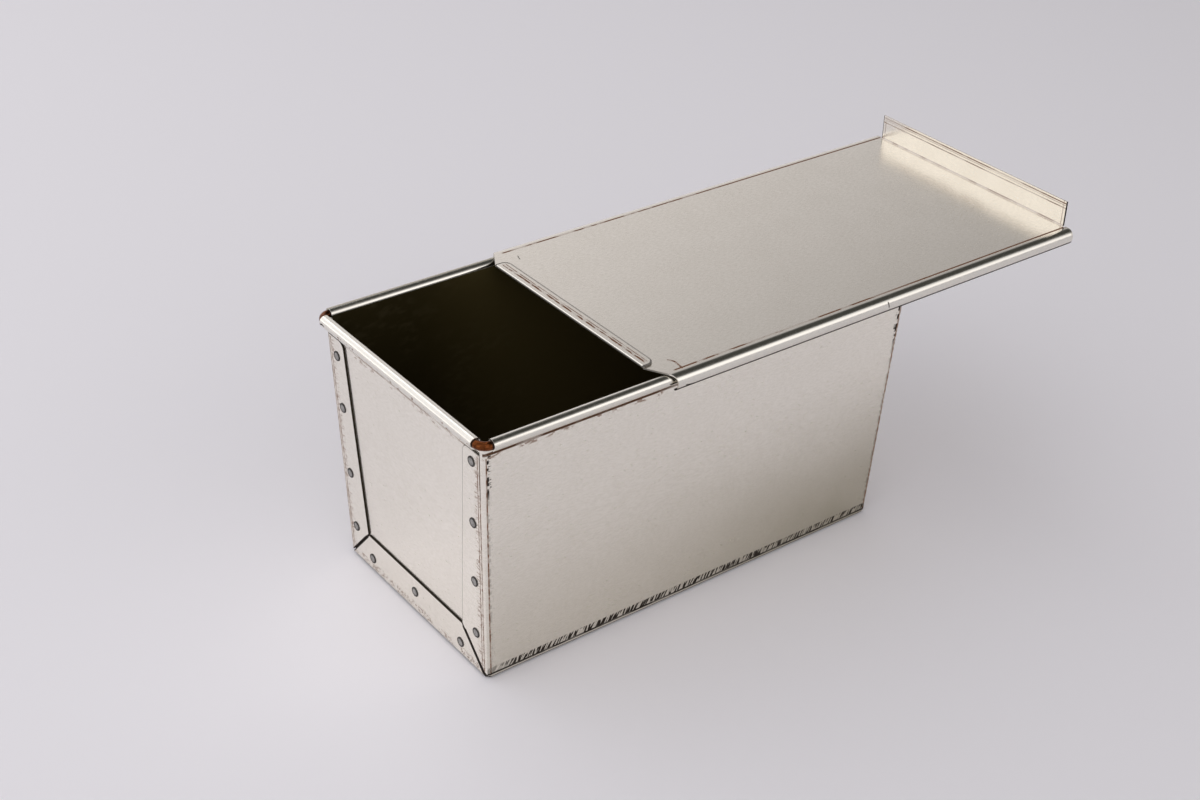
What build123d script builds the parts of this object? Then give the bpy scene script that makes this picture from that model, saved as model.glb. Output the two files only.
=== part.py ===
"""A lidded loaf pan of folded sheet steel, for square loaves.

The trough is one sheet: two long sides and the floor, with three riveted flanges at
each end. An end plate lies inside the flanges of each end. The top edges are rolled
outward round one wire ring, and the lid slides along the two long rolls.

X runs along the pan, towards the finger flange of the lid, and Z is up. The near end
is at -X and the front is at -Y. The origin is the middle of the underside. The lid is
drawn a good third open, as it is used to show the inside.
"""

from math import atan, cos, degrees, sin

import os

from build123d import *

# Sheet, wire and fits
sheet = 0.6
wire_diameter = 3.5
wire_clearance = 0.04
lap_clearance = 0.08
overrun = 20.0

# Pan, measured over the outside of the folded sheet
bottom_length = 196.0
bottom_width = 100.6
top_length = 205.0
top_width = 108.8
rim_height = 110.0
bend_radius = 1.85
wire_corner_radius = 4.0
roll_end_angle = -125.0
post_gap = 0.35

# Flanges at the ends of the trough
flange_drop = 5.5
flange_top_width = 12.4
flange_foot_width = 16.4
flange_corner_radius = 3.0
floor_flange_height = 17.6
mitre_gap = 0.5

# End plates
plate_edge_gap = 0.1

# Rivets, their places on the slope as shares of the flange that carries them
rivet_head = 4.2
rivet_head_height = 0.3
rivet_head_edge = 0.15
rivet_shank = 2.2
rivet_tail = 3.6
rivet_tail_height = 0.5
rivet_clearance = 0.05
rivet_inset = 6.8
front_rivet_shares = (0.9522, 0.689, 0.4258, 0.1866)
back_rivet_shares = (0.9234, 0.6986, 0.4067, 0.1579)
floor_rivet_spread_share = 0.646
floor_rivet_side_share = 0.398
floor_rivet_middle_share = 0.602

# Lid
lid_sheet = 0.6
lid_length = 222.0
lid_overhang = 1.5
lid_open = 80.0
lid_running_gap = 0.3
lid_roll_radius = 2.6
lid_roll_play = 1.6
lid_roll_drop = 0.8
lid_hook_angle = 75.0
lid_roll_slant = 3.0
tongue_width = 97.0
tongue_length = 7.2
hem_width = 5.8
hem_corner_radius = 3.4
hem_gap = 0.08
finger_width = 110.6
finger_height = 11.3
finger_bend_radius = 0.7
finger_relief = 1.0

# Worked out from the sizes above
flange_top = rim_height - flange_drop
roll_radius = wire_diameter / 2 + wire_clearance + sheet
end_slope = atan((top_length - bottom_length) / 2 / rim_height)
side_slope = atan((top_width - bottom_width) / 2 / rim_height)


def length_at(height, inset=0):
    """Half the pan's length at a height, with the end wall moved in by inset."""
    slope = (top_length - bottom_length) / 2 / rim_height
    return bottom_length / 2 + height * slope - inset / cos(end_slope)


def width_at(height, inset=0):
    """Half the pan's width at a height, with the long wall moved in by inset."""
    slope = (top_width - bottom_width) / 2 / rim_height
    return bottom_width / 2 + height * slope - inset / cos(side_slope)


# The end plate's inner face lies two sheets and the lap inside the flange's face.
plate_inset = 2 * sheet + lap_clearance
wire_x = length_at(rim_height, plate_inset - roll_radius)
wire_y = width_at(rim_height, sheet - roll_radius)
side_roll_half = wire_x - wire_corner_radius
end_roll_half = wire_y - wire_corner_radius
post_height = rim_height - wire_diameter / 2 - post_gap
lid_under = rim_height + roll_radius + lid_running_gap
lid_top = lid_under + lid_sheet
lid_near = -(wire_x + roll_radius + lid_overhang) + lid_open
lid_far = lid_near + lid_length
lid_roll_y = wire_y + roll_radius + lid_roll_play - lid_roll_radius


def both_ways(face, half_length):
    """A section drawn out by half_length to each side of its plane."""
    return extrude(face, amount=half_length, both=True)


def wall_outline(wall_place, inset, top):
    """The pan seen square on to two walls, from its floor up to top, moved in by inset."""
    foot, head = wall_place(inset, inset), wall_place(top, inset)
    return Polygon((-foot, inset), (foot, inset), (head, top), (-head, top), align=None)


def tub(inset, radius, top):
    """The pan as a solid block with rounded corners, each wall moved in by inset."""
    long_way = both_ways(Plane.YZ * wall_outline(width_at, inset, top), top_length)
    short_way = both_ways(Plane.XZ * wall_outline(length_at, inset, top), top_width)
    block = long_way & short_way
    return fillet(block.edges() - block.faces().sort_by(Axis.Z)[-1].edges(), radius)


def rolled_wall(wall_place, wall_inset, slope, foot):
    """Section of a wall from its foot up and outward round the wire.

    Across is the distance from the pan's middle, and the wall's faces lie at
    wall_place(height, inset). The lip stops short of the wall's outer face.
    """
    middle = (wall_place(rim_height, wall_inset + sheet - roll_radius), rim_height)
    wall_angle = 180 - degrees(slope)
    turn_angle = roll_end_angle - wall_angle
    outside = CenterArc(middle, roll_radius, wall_angle, turn_angle)
    inside = CenterArc(middle, roll_radius - sheet, wall_angle, turn_angle)
    outer_foot = (wall_place(foot, wall_inset), foot)
    inner_foot = (wall_place(foot, wall_inset + sheet), foot)
    edges = [
        Line(inner_foot, outside @ 0),
        outside,
        Line(outside @ 1, inside @ 1),
        inside,
        Line(inside @ 0, outer_foot),
        Line(outer_foot, inner_foot),
    ]
    return make_face(edges)


def end_window():
    """Outline of what is cut from an end wall, between and above its flanges."""
    foot = width_at(floor_flange_height) - flange_foot_width
    head = width_at(flange_top) - flange_top_width
    post = width_at(flange_top) - bend_radius
    over = rim_height + overrun
    right = [(foot, floor_flange_height), (head, flange_top), (post, flange_top), (post, over)]
    left = [(-across, height) for across, height in reversed(right)]
    window = Polygon(*right, *left, align=None)
    corners = [v for v in window.vertices() if abs(abs(v.X) - head) < sheet and v.Y < over]
    return fillet(corners, flange_corner_radius)


def mitre_slit(side):
    """Outline of the slit between a side flange and the floor flange.

    It starts inside the window, so that the two cuts run into each other.
    """
    start = Vector(side * (width_at(floor_flange_height) - flange_foot_width), floor_flange_height)
    corner = Vector(side * width_at(0), 0)
    run = corner - start
    reach = run.length + 2 * bend_radius + mitre_gap
    angle = degrees(atan(run.Y / run.X)) + (180 if side < 0 else 0)
    slit = Pos(-mitre_gap, 0) * Rectangle(reach, mitre_gap, align=(Align.MIN, Align.CENTER))
    return Pos(start.X, start.Y) * Rot(0, 0, angle) * slit


def end_plane():
    """The outer face of the flanges at the far end: across, up the slope, outward."""
    outward = (cos(end_slope), 0, -sin(end_slope))
    return Plane(origin=(length_at(0), 0, 0), x_dir=(0, 1, 0), z_dir=outward)


def rivet_places():
    """Where each group of rivets sits on the end: across and up the slope."""
    front_heights = [flange_top * share for share in front_rivet_shares]
    back_heights = [flange_top * share for share in back_rivet_shares]
    spread = width_at(0) * floor_rivet_spread_share
    side_height = floor_flange_height * floor_rivet_side_share
    middle_height = floor_flange_height * floor_rivet_middle_share
    return {
        "front": [(rivet_inset - width_at(height), height) for height in front_heights],
        "back": [(width_at(height) - rivet_inset, height) for height in back_heights],
        "floor": [(-spread, side_height), (0, middle_height), (spread, side_height)],
    }


def rivet_holes():
    """Drills through the flanges and the end plate of the far end."""
    depth = 2 * plate_inset
    drill = Cylinder(rivet_shank / 2 + rivet_clearance, 2 * depth)
    places = [place for group in rivet_places().values() for place in group]
    return [end_plane() * Pos(across, up, 0) * drill for across, up in places]


def rivet():
    """One rivet, its flat head outside and its upset tail inside the pan."""
    head = Cylinder(rivet_head / 2, rivet_head_height, align=(Align.CENTER, Align.CENTER, Align.MIN))
    head = chamfer(head.edges().group_by(Axis.Z)[-1], rivet_head_edge)
    shank = Cylinder(rivet_shank / 2, plate_inset, align=(Align.CENTER, Align.CENTER, Align.MAX))
    tail = Pos(0, 0, -plate_inset) * Cylinder(
        rivet_tail / 2, rivet_tail_height, align=(Align.CENTER, Align.CENTER, Align.MAX)
    )
    tail = fillet(tail.edges().group_by(Axis.Z)[0], rivet_tail_height / 2)
    return head + shank + tail


def make_trough():
    """The folded trough: long sides, floor and the six end flanges in one sheet."""
    shell = tub(0, bend_radius, rim_height) - tub(sheet, bend_radius - sheet, rim_height + overrun)
    above = Pos(0, 0, post_height) * Box(
        top_length + overrun, top_width + overrun, rim_height, align=(Align.CENTER, Align.CENTER, Align.MIN)
    )
    shell -= above
    roll = Plane.YZ * rolled_wall(width_at, 0, side_slope, post_height)
    roll = both_ways(roll, side_roll_half)
    shell += [roll, mirror(roll, about=Plane.XZ)]
    reach = length_at(0) - bend_radius
    cutters = [end_window(), mitre_slit(1), mitre_slit(-1)]
    cuts = [extrude(Plane.YZ.offset(reach) * outline, amount=overrun) for outline in cutters]
    cuts += rivet_holes()
    return shell - cuts - [mirror(cut, about=Plane.YZ) for cut in cuts]


def make_far_end_plate():
    """The far end plate, inside the flanges, its top rolled round the wire."""
    inset = bend_radius + plate_edge_gap
    section = Plane.XZ * rolled_wall(length_at, sheet + lap_clearance, end_slope, inset)
    plate = both_ways(section, top_width)
    right = [
        (width_at(0, inset), 0),
        (width_at(post_height, inset), post_height),
        (end_roll_half, post_height),
        (end_roll_half, rim_height + overrun),
    ]
    left = [(-across, height) for across, height in reversed(right)]
    outline = Plane.YZ * Polygon(*right, *left, align=None)
    return (plate & extrude(outline, amount=top_length)) - rivet_holes()


def make_rim_wire():
    """The wire ring inside the rolled top edges, round at its four corners."""
    path = Pos(0, 0, rim_height) * RectangleRounded(2 * wire_x, 2 * wire_y, wire_corner_radius)
    section = Plane(origin=(0, -wire_y, rim_height), z_dir=(1, 0, 0)) * Circle(wire_diameter / 2)
    return sweep(section, path=path.wire())


def lid_section():
    """Section of the lid across the pan: a flat with a hooked roll at each side."""
    inner = lid_roll_radius
    outer = lid_roll_radius + lid_sheet
    shoulder = lid_top - outer
    elbow = shoulder - lid_roll_drop
    edges = [Line((-lid_roll_y, lid_top), (lid_roll_y, lid_top))]
    edges += [Line((-lid_roll_y, lid_under), (lid_roll_y, lid_under))]
    for side in (1, -1):
        out_angle = 0 if side > 0 else 180
        for radius in (inner, outer):
            upper = CenterArc((side * lid_roll_y, shoulder), radius, 90, -side * 90)
            drop = Line(upper @ 1, (side * (lid_roll_y + radius), elbow))
            lower = CenterArc((side * lid_roll_y, elbow), radius, out_angle, -side * lid_hook_angle)
            edges += [upper, drop, lower]
            if radius == inner:
                lip = lower @ 1
        edges += [Line(lip, lower @ 1)]
    return make_face(edges)


def corner_cuts():
    """What the near corners of the lid lose: a slant past the tongue and on the rolls."""
    outer = lid_roll_y + lid_roll_radius + lid_sheet
    slant = [
        (lid_near, tongue_width / 2),
        (lid_near + tongue_length, outer),
        (lid_near + tongue_length, outer + overrun),
        (lid_near - overrun, outer + overrun),
        (lid_near - overrun, tongue_width / 2),
    ]
    low = lid_top - 2 * (lid_roll_radius + lid_sheet) - lid_roll_drop
    lean = [
        (lid_near - overrun, lid_under),
        (lid_near + tongue_length - lid_roll_slant, lid_under),
        (lid_near + tongue_length, low),
        (lid_near - overrun, low),
    ]
    corner = extrude(Plane.XY * Polygon(*slant, align=None), amount=2 * rim_height)
    skirt = Plane.XZ.offset(-lid_roll_y) * Polygon(*lean, align=None)
    skirt = extrude(skirt, amount=-overrun)
    return [corner, skirt, mirror(corner, about=Plane.XZ), mirror(skirt, about=Plane.XZ)]


def make_lid():
    """The lid: flat sheet, side rolls, hemmed tongue and upright finger flange."""
    body = Plane.YZ.offset(lid_near) * lid_section()
    body = extrude(body, amount=lid_length) - corner_cuts()

    nose = lid_sheet + hem_gap / 2
    hem_middle = lid_top + hem_gap / 2
    ring = CenterArc((lid_near + nose, hem_middle), nose, 90, 180)
    bore = CenterArc((lid_near + nose, hem_middle), hem_gap / 2, 90, 180)
    fold = [ring, bore, Line(ring @ 0, bore @ 0), Line(ring @ 1, bore @ 1)]
    fold = both_ways(Plane.XZ * make_face(fold), tongue_width / 2)
    flap_run = hem_width - nose
    flap = Rectangle(flap_run, tongue_width, align=(Align.MIN, Align.CENTER))
    flap = fillet(flap.vertices().group_by(Axis.X)[-1], hem_corner_radius)
    flap = Pos(lid_near + nose, 0, lid_top + hem_gap) * flap
    flap = extrude(flap, amount=lid_sheet)
    trim = Pos(lid_near, 0, lid_under) * Box(
        nose, top_width + overrun, lid_sheet, align=(Align.MIN, Align.CENTER, Align.MIN)
    )

    inner = finger_bend_radius
    outer = finger_bend_radius + lid_sheet
    relief = extrude(
        Pos(lid_far, 0, lid_under) * Rectangle(2 * outer, 2 * (finger_width / 2 + finger_relief)),
        amount=lid_sheet,
    )
    bend_middle = (lid_far - outer, lid_under + outer)
    inside = CenterArc(bend_middle, inner, -90, 90)
    outside = CenterArc(bend_middle, outer, -90, 90)
    tip = lid_top + finger_height
    finger = [
        inside,
        outside,
        Line(inside @ 0, outside @ 0),
        Line(inside @ 1, (lid_far - lid_sheet, tip)),
        Line(outside @ 1, (lid_far, tip)),
        Line((lid_far - lid_sheet, tip), (lid_far, tip)),
    ]
    finger = both_ways(Plane.XZ * make_face(finger), finger_width / 2)
    return body - trim - relief + [fold, flap, finger]


def make_rivets(places):
    """A group of separate rivets on the far end."""
    return Compound(children=[end_plane() * Pos(across, up, 0) * rivet() for across, up in places])


def make_parts():
    """Every node of the pan, by name."""
    parts = {"trough": make_trough(), "rim_wire": make_rim_wire(), "lid": make_lid()}
    far = {"end_plate": make_far_end_plate()}
    for side, places in rivet_places().items():
        far[f"{side}_rivets"] = make_rivets(places)
    for name, shape in far.items():
        parts[f"far_{name}"] = shape
        parts[f"near_{name}"] = mirror(shape, about=Plane.YZ)
    return parts


def main():
    os.makedirs("parts", exist_ok=True)
    for name, shape in make_parts().items():
        export_step(shape, f"parts/{name}.step")
        print(name, len(shape.solids()), round(sum(solid.volume for solid in shape.solids()), 1))


if __name__ == "__main__":
    main()
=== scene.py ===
"""Looks of the lidded loaf pan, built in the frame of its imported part.

Every sheet is modelled as it is made: a flat blank whose edges are bent and drawn out,
cut at its mitres and given its thickness last. Coordinates are metres in the part's frame:
X runs along the pan towards the finger flange, Z is up, and the front is at -Y. The
finishes reckon in millimetres.
"""

from math import atan, cos, pi, radians, sin, tan

import bmesh
import bpy
from bpy.props import FloatProperty, FloatVectorProperty, PointerProperty
from bpy.types import Operator, Panel, PropertyGroup
from mathutils import Matrix, Vector


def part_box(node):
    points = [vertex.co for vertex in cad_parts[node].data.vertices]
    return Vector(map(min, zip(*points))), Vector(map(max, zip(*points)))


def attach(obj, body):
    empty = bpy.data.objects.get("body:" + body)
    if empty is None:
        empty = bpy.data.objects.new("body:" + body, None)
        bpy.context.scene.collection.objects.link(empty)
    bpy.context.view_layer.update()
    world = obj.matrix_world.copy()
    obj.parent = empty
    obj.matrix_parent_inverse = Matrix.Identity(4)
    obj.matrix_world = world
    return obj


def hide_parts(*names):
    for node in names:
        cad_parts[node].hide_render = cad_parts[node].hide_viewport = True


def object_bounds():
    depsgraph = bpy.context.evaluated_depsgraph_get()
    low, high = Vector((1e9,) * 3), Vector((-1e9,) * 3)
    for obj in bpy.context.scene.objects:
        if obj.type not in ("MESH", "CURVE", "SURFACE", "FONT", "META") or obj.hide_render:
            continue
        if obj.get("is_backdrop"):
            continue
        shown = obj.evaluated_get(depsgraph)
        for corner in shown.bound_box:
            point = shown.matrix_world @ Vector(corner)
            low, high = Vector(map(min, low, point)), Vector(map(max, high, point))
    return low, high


bl_info = {
    "name": "Loaf pan looks",
    "version": (1, 0, 0),
    "blender": (4, 5, 0),
    "location": "View3D > Sidebar > Loaf pan",
    "description": "Models and finishes a lidded loaf pan of folded sheet steel",
    "category": "Object",
}

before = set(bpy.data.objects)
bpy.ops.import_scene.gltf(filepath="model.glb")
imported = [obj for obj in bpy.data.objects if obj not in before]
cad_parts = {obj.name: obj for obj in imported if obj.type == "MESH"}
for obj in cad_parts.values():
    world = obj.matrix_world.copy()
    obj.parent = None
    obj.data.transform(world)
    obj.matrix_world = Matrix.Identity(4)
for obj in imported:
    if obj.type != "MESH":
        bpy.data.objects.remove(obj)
cad_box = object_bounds()

MM = 0.001
NEAR = 1e-6  # places closer than this are the same
LOOSE = 10 * NEAR  # the same for places that have been bent and drawn
ALONG, ACROSS, UP = (Vector(axis) for axis in ((1, 0, 0), (0, 1, 0), (0, 0, 1)))
ENDS = {"near": -1, "far": 1}
SIDES = (-1, 1)

# How many flat steps stand for each round.
BEND_STEPS, ROLL_STEPS, FOLD_STEPS, CORNER_STEPS = 8, 44, 10, 8
SHOULDER_STEPS, HOOK_STEPS = 16, 14
ROUND_SIDES, WIRE_TURN_STEPS, DOME_STEPS = 28, 12, 3

SMOOTH_UP_TO, BEVEL_FROM = radians(32), radians(50)  # angles between neighbouring faces
NORMAL_WEIGHT = 90  # over 50, large faces count for more than small ones

# A rivet head's width over that of its ring and of its slope, and its bevel over its dish.
HEAD_TO_RING, HEAD_TO_SLOPE, EDGE_TO_DISH = 14, 20, 3


def sort_of(maker, **settings):
    """A short way to declare properties of one kind."""

    def declare(name, value, text):
        return maker(name=name, description=text, default=value, **settings)

    return declare


length = sort_of(FloatProperty, min=0, unit="LENGTH", precision=5)
angle = sort_of(FloatProperty, subtype="ANGLE")
share = sort_of(FloatProperty, min=0, max=1, subtype="FACTOR")
power = sort_of(FloatProperty, min=0, unit="POWER")
lens = sort_of(FloatProperty, unit="CAMERA")
colour = sort_of(FloatVectorProperty, size=3, min=0, max=1, subtype="COLOR")
place = sort_of(FloatVectorProperty, size=3, unit="LENGTH")
way = sort_of(FloatVectorProperty, size=3, subtype="DIRECTION")


def mm(name, value, text):
    """A length property, its default given in millimetres."""
    return length(name, value * MM, text)


def degrees(name, value, text):
    """An angle property, its default given in degrees."""
    return angle(name, radians(value), text)


class PanSizes(PropertyGroup):
    """Sizes of the folded pan."""

    sheet: mm("Sheet", 0.6, "Thickness of the sheet")
    cut_edge: mm("Cut edge", 0.06, "Width of the bevel on every cut edge")
    lap: mm("Lap", 0.08, "Gap between a flange and the end plate under it")
    bottom_length: mm("Bottom length", 196, "Outside length at the underside")
    bottom_width: mm("Bottom width", 100.6, "Outside width at the underside")
    top_length: mm("Top length", 205, "Outside length at the height of the rim wire")
    top_width: mm("Top width", 108.8, "Outside width at the height of the rim wire")
    rim_height: mm("Rim height", 110, "Height of the middle of the rim wire")
    bend_radius: mm("Bend radius", 1.85, "Outside radius of the bends")
    roll_radius: mm("Roll radius", 2.39, "Outside radius of the rolled top edges")
    roll_end: degrees("Roll end", -125, "Where the roll's lip stops, from straight out")
    corner_radius: mm("Corner radius", 4, "Radius of the wire's middle at the corners")
    post_height: mm("Post height", 107.9, "Where a wall stops beside its roll")
    flange_top: mm("Flange top", 104.5, "Height of the side flanges")
    flange_top_width: mm("Flange top width", 12.4, "Width of a side flange at its top")
    flange_foot_width: mm("Flange foot width", 16.4, "Width of a side flange at the floor flange")
    flange_round: mm("Flange rounding", 3, "Radius of a side flange's free corner")
    floor_flange: mm("Floor flange", 17.6, "Height of the floor flange")
    mitre_gap: mm("Mitre gap", 0.5, "Slit between a side flange and the floor flange")
    plate_edge: mm("Plate edge", 1.95, "How far the end plate stays inside the pan's outer faces")


class LidSizes(PropertyGroup):
    """Sizes of the sliding lid."""

    sheet: mm("Sheet", 0.6, "Thickness of the lid's sheet")
    roll_radius: mm("Roll radius", 3.2, "Outside radius of the side rolls")
    roll_drop: mm("Roll drop", 0.8, "Straight run between the two bends of a roll")
    hook: degrees("Hook", 75, "How far a roll turns under")
    roll_slant: mm("Roll slant", 3, "How far the roll's near end leans back")
    tongue_width: mm("Tongue width", 97, "Width of the hemmed near edge")
    tongue_length: mm("Tongue length", 7.2, "Length of the slanted corners")
    hem: mm("Hem", 5.8, "Width of the folded hem")
    hem_gap: mm("Hem gap", 0.08, "Gap inside the fold")
    hem_round: mm("Hem rounding", 3.4, "Radius of the hem's free corners")
    finger_width: mm("Finger width", 110.6, "Width of the finger flange")
    finger_height: mm("Finger height", 11.3, "Height of the finger flange over the lid")
    finger_bend: mm("Finger bend", 0.7, "Inside radius of the finger flange's bend")
    relief: mm("Relief", 1, "Cut beside the finger flange's bend")


class FastenerSizes(PropertyGroup):
    """Sizes of the rim wire and the rivets."""

    wire: mm("Wire", 3.5, "Diameter of the rim wire")
    head: mm("Rivet head", 4.2, "Diameter of a rivet's head")
    head_height: mm("Rivet head height", 0.3, "Height of a rivet's head")
    head_edge: mm("Rivet head edge", 0.12, "Bevel round a rivet's head")
    tail: mm("Rivet tail", 3.6, "Diameter of a rivet's tail inside the pan")
    tail_height: mm("Rivet tail height", 0.5, "Height of a rivet's tail")


class Finishes(PropertyGroup):
    """Colours and gloss."""

    steel: colour("Steel", (0.96, 0.918, 0.835), "The coated sheet where it is clean")
    steel_dull: colour("Dull steel", (0.885, 0.843, 0.755), "The coated sheet where it is dull")
    drawn: colour("Drawn steel", (0.81, 0.79, 0.725), "The coated sheet where the rolls have been drawn")
    stain: colour("Stain", (0.18, 0.082, 0.04), "Brown where a bend has cracked the coating")
    # Dark grime and die marks, and also painted shade along cut edges, gaps, the bottom edge, under the
    # rolls and at the wire's ends.
    mark: colour("Mark", (0.022, 0.016, 0.012), "Dark grime and marks of the dies")
    # Darker olive tone for the long walls, lower down and towards the far end.
    dull: colour("Dull film", (0.42, 0.385, 0.295), "The olive film low on the long walls")
    inside: colour("Inside", (0.021, 0.0158, 0.005), "The dark baked coating inside")
    # Painted light: the inside coating is made lighter deep under the lid, where the lid's shade falls.
    inside_far: colour("Inside far", (0.15, 0.117, 0.044), "The coating inside, deep under the lid")
    inside_rubbed: colour("Inside rubbed", (0.13, 0.11, 0.065), "The coating inside where it is rubbed thin")
    wire: colour("Wire", (0.22, 0.066, 0.02), "The copper-coloured rim wire")
    rivet: colour("Rivet", (0.42, 0.41, 0.39), "The rivets' heads")
    roughness: share("Roughness", 0.24, "Roughness of the clean sheet")
    worked_roughness: share("Worked roughness", 0.19, "Roughness where the rolls have been drawn")
    dirt_roughness: share("Dirt roughness", 0.6, "Roughness of stains and grime")
    inside_roughness: share("Inside roughness", 0.45, "Roughness of the coating inside")


class StageSettings(PropertyGroup):
    """Camera, floor and lamps."""

    focal_length: lens("Focal length", 56.122, "Lens for a 36 mm sensor")
    eye: place("Eye", (-0.400544, -0.507438, 0.462965), "Place of the camera")
    azimuth: angle("Azimuth", 0.656454, "Where the camera looks, from +Y towards +X")
    tilt: angle("Tilt", 0.551958, "How far the camera looks down")
    roll: angle("Roll", 0.031634, "How far the camera leans")
    floor: colour("Floor", (0.85, 0.84, 0.868), "The pale floor")
    key: power("Key", 38, "Power of the soft box behind on the left")
    key_tone: colour("Key tone", (0.98, 0.965, 1.0), "Colour of the soft box")
    key_place: place("Key place", (-1.06, 0.40, 1.35), "Middle of the key")
    key_core: degrees("Key core", 38, "Half the width of the dark behind the key")
    key_reach: degrees("Key reach", 50, "Where the dark behind the key ends")
    card: power("Card", 0.45, "Power of the bright card at the right front")
    card_place: place("Card place", (0.63, -0.75, 0.45), "Middle of the bright card")
    room: colour("Room", (0.80, 0.77, 0.78), "The room's soft light")
    ceiling: colour("Ceiling", (0.05, 0.05, 0.045), "The dark part of the ceiling")
    dark_way: way("Dark way", (0.60, 0.02, 0.80), "Where the dark part of the ceiling is")
    dark_core: degrees("Dark core", 14, "Half the width of the darkest part")
    dark_reach: degrees("Dark reach", 54, "Where the dark part ends")
    front: colour("Front", (1.0, 0.965, 0.975), "The bright part of the room over the camera")
    front_way: way("Front way", (-0.25, -0.75, 0.62), "Where the bright part of the room is")
    front_core: degrees("Front core", 40, "Half the width of the brightest part")
    front_reach: degrees("Front reach", 66, "Where the bright part ends")
    backdrop: colour("Backdrop", (0.66, 0.645, 0.665), "What the camera sees past the floor")


def pan():
    return bpy.context.scene.loaf_pan


def lid():
    return bpy.context.scene.loaf_lid


def end_slope():
    return (pan().top_length - pan().bottom_length) / 2 / pan().rim_height


def side_slope():
    return (pan().top_width - pan().bottom_width) / 2 / pan().rim_height


def end_lean():
    return atan(end_slope())


def side_lean():
    return atan(side_slope())


def square_out(outward, lean):
    """The direction square out of a wall that leans outward."""
    return outward * cos(lean) - UP * sin(lean)


def length_at(height, inset=0.0):
    """Half the pan's length at a height, the end wall moved in by inset."""
    return pan().bottom_length / 2 + height * end_slope() - inset / cos(end_lean())


def width_at(height, inset=0.0):
    """Half the pan's width at a height, the long wall moved in by inset."""
    return pan().bottom_width / 2 + height * side_slope() - inset / cos(side_lean())


def plate_inset():
    """How far an end plate's inner face lies in from the outside of the flanges."""
    return 2 * pan().sheet + pan().lap


def wire_x():
    return length_at(pan().rim_height, plate_inset() - pan().roll_radius)


def wire_y():
    return width_at(pan().rim_height, pan().sheet - pan().roll_radius)


def inner_radius():
    return pan().bend_radius - pan().sheet


def bend_top(lean):
    """The height at which a bend up from the floor ends."""
    return pan().sheet + inner_radius() - inner_radius() * sin(lean)


def floor_edges():
    """Half the length and half the width of the floor between its bends."""
    sheet = pan().sheet
    return (
        length_at(sheet, sheet) - inner_radius() * tan((pi / 2 - end_lean()) / 2),
        width_at(sheet, sheet) - inner_radius() * tan((pi / 2 - side_lean()) / 2),
    )


def flange_edge():
    """The lower and the upper end of a side flange's free edge, as Y and Z."""
    size = pan()
    return (
        (width_at(size.floor_flange) - size.flange_foot_width, size.floor_flange),
        (width_at(size.flange_top) - size.flange_top_width, size.flange_top),
    )


def lid_lines():
    """The lid's near and far ends, its top face and the middle of its side rolls."""
    low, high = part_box("lid")
    return low[0], high[0], high[2] - lid().finger_height, high[1] - lid().roll_radius


def same(value, other, within=NEAR):
    return abs(value - other) < within


def select(*pieces):
    """Select these pieces alone, in object mode and with the first one active."""
    if bpy.context.object and bpy.context.object.mode != "OBJECT":
        bpy.ops.object.mode_set(mode="OBJECT")
    bpy.ops.object.select_all(action="DESELECT")
    for piece in pieces:
        piece.select_set(True)
    if pieces:
        bpy.context.view_layer.objects.active = pieces[0]


def apply(piece, name, kind, **settings):
    """Add a modifier to the active piece, set it and apply it."""
    modifier = piece.modifiers.new(name, kind)
    for setting, value in settings.items():
        setattr(modifier, setting, value)
    bpy.ops.object.modifier_apply(modifier=modifier.name)


def smooth(piece):
    """Shade round bends smooth and keep flat walls flat."""
    select(piece)
    bpy.ops.object.shade_smooth_by_angle(angle=SMOOTH_UP_TO)
    apply(
        piece, "weighted normals", "WEIGHTED_NORMAL",
        mode="FACE_AREA", keep_sharp=True, weight=NORMAL_WEIGHT,
    )


def coat(piece, *materials):
    """Give a piece its materials."""
    for material in materials:
        piece.data.materials.append(material)


def draw(run):
    """Draw what is picked out in a straight run."""
    bpy.ops.mesh.extrude_region_move(TRANSFORM_OT_translate={"value": tuple(run)})


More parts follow.
